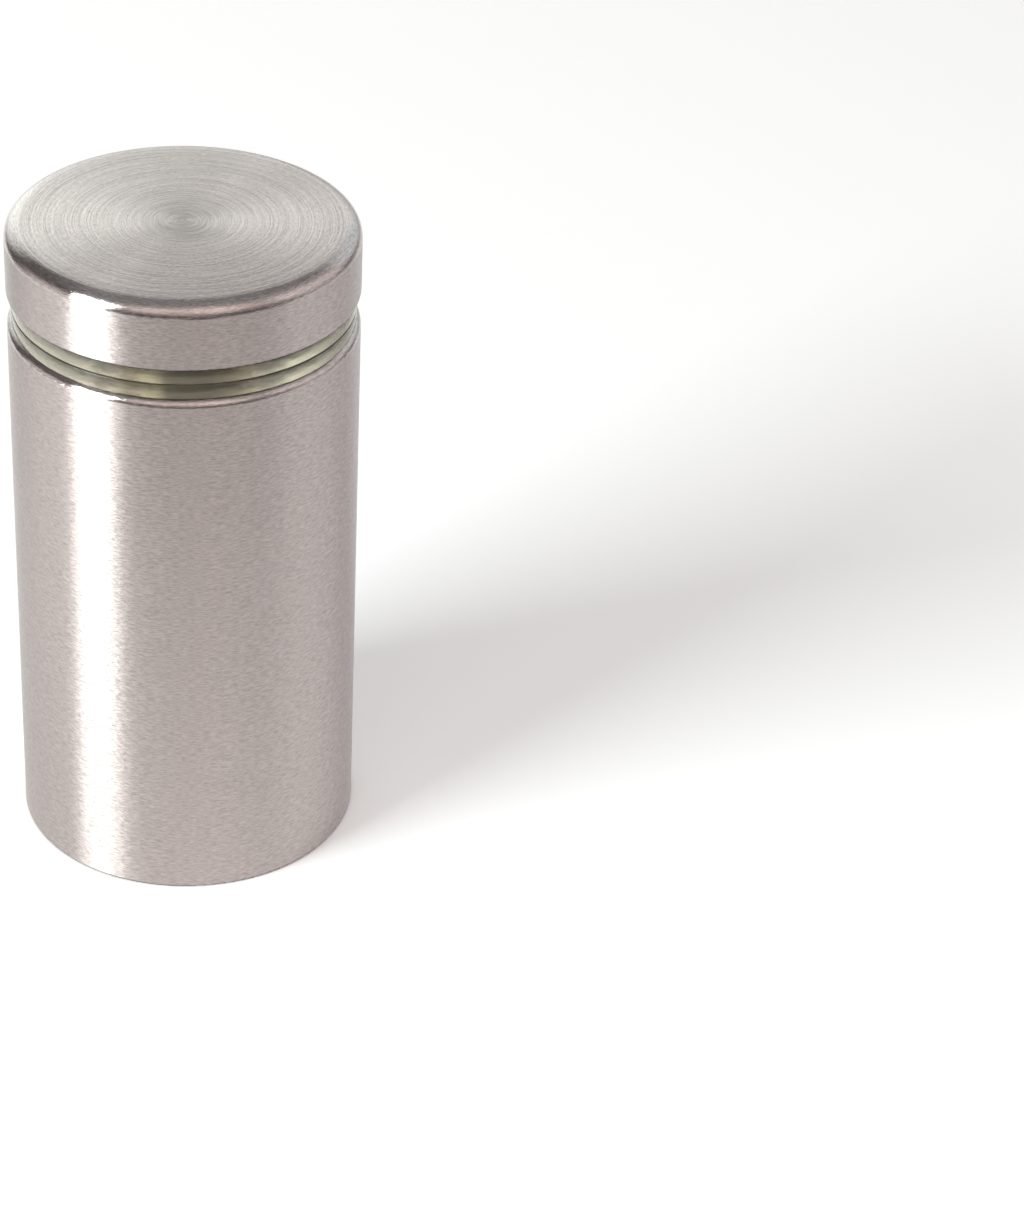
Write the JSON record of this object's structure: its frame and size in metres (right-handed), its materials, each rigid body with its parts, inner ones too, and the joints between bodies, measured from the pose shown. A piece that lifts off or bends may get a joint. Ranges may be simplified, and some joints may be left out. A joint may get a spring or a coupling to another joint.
{
  "type": "glass panel standoff",
  "caption": "Cylindrical steel standoff: a barrel screwed to a wall and a screw-on cap that clamps a drilled panel between two soft washers.",
  "frame": {"origin": "centre of the barrel's wall face", "axes": "+Z along the standoff's axis, from the wall towards the cap; X and Y lie in the wall face and are equal"},
  "size_m": [0.03, 0.03, 0.0588],
  "materials": {
    "brushed_steel": "brushed round the axis",
    "clear_vinyl": "translucent, satin",
    "zinc_steel": "zinc plated"
  },
  "bodies": {
    "barrel": {"barrel": "brushed_steel", "lower_washer": "clear_vinyl"},
    "upper_washer": {"upper_washer": "clear_vinyl"},
    "cap": {"cap": "brushed_steel", "stud": "zinc_steel"}
  },
  "joints": [
    {"name": "cap_travel", "type": "slide", "parent": "barrel", "child": "upper_washer", "axis": [0, 0, 1], "range_m": [0, 0.018]},
    {"name": "cap_turn", "type": "hinge", "parent": "upper_washer", "child": "cap", "pos_m": [0, 0, 0.0588], "axis": [0, 0, 1], "range_deg": [0, 4320]}
  ],
  "couplings": [
    {"joint": "cap_travel", "follows": "cap_turn", "m_per_rad": 0.00023873}
  ]
}
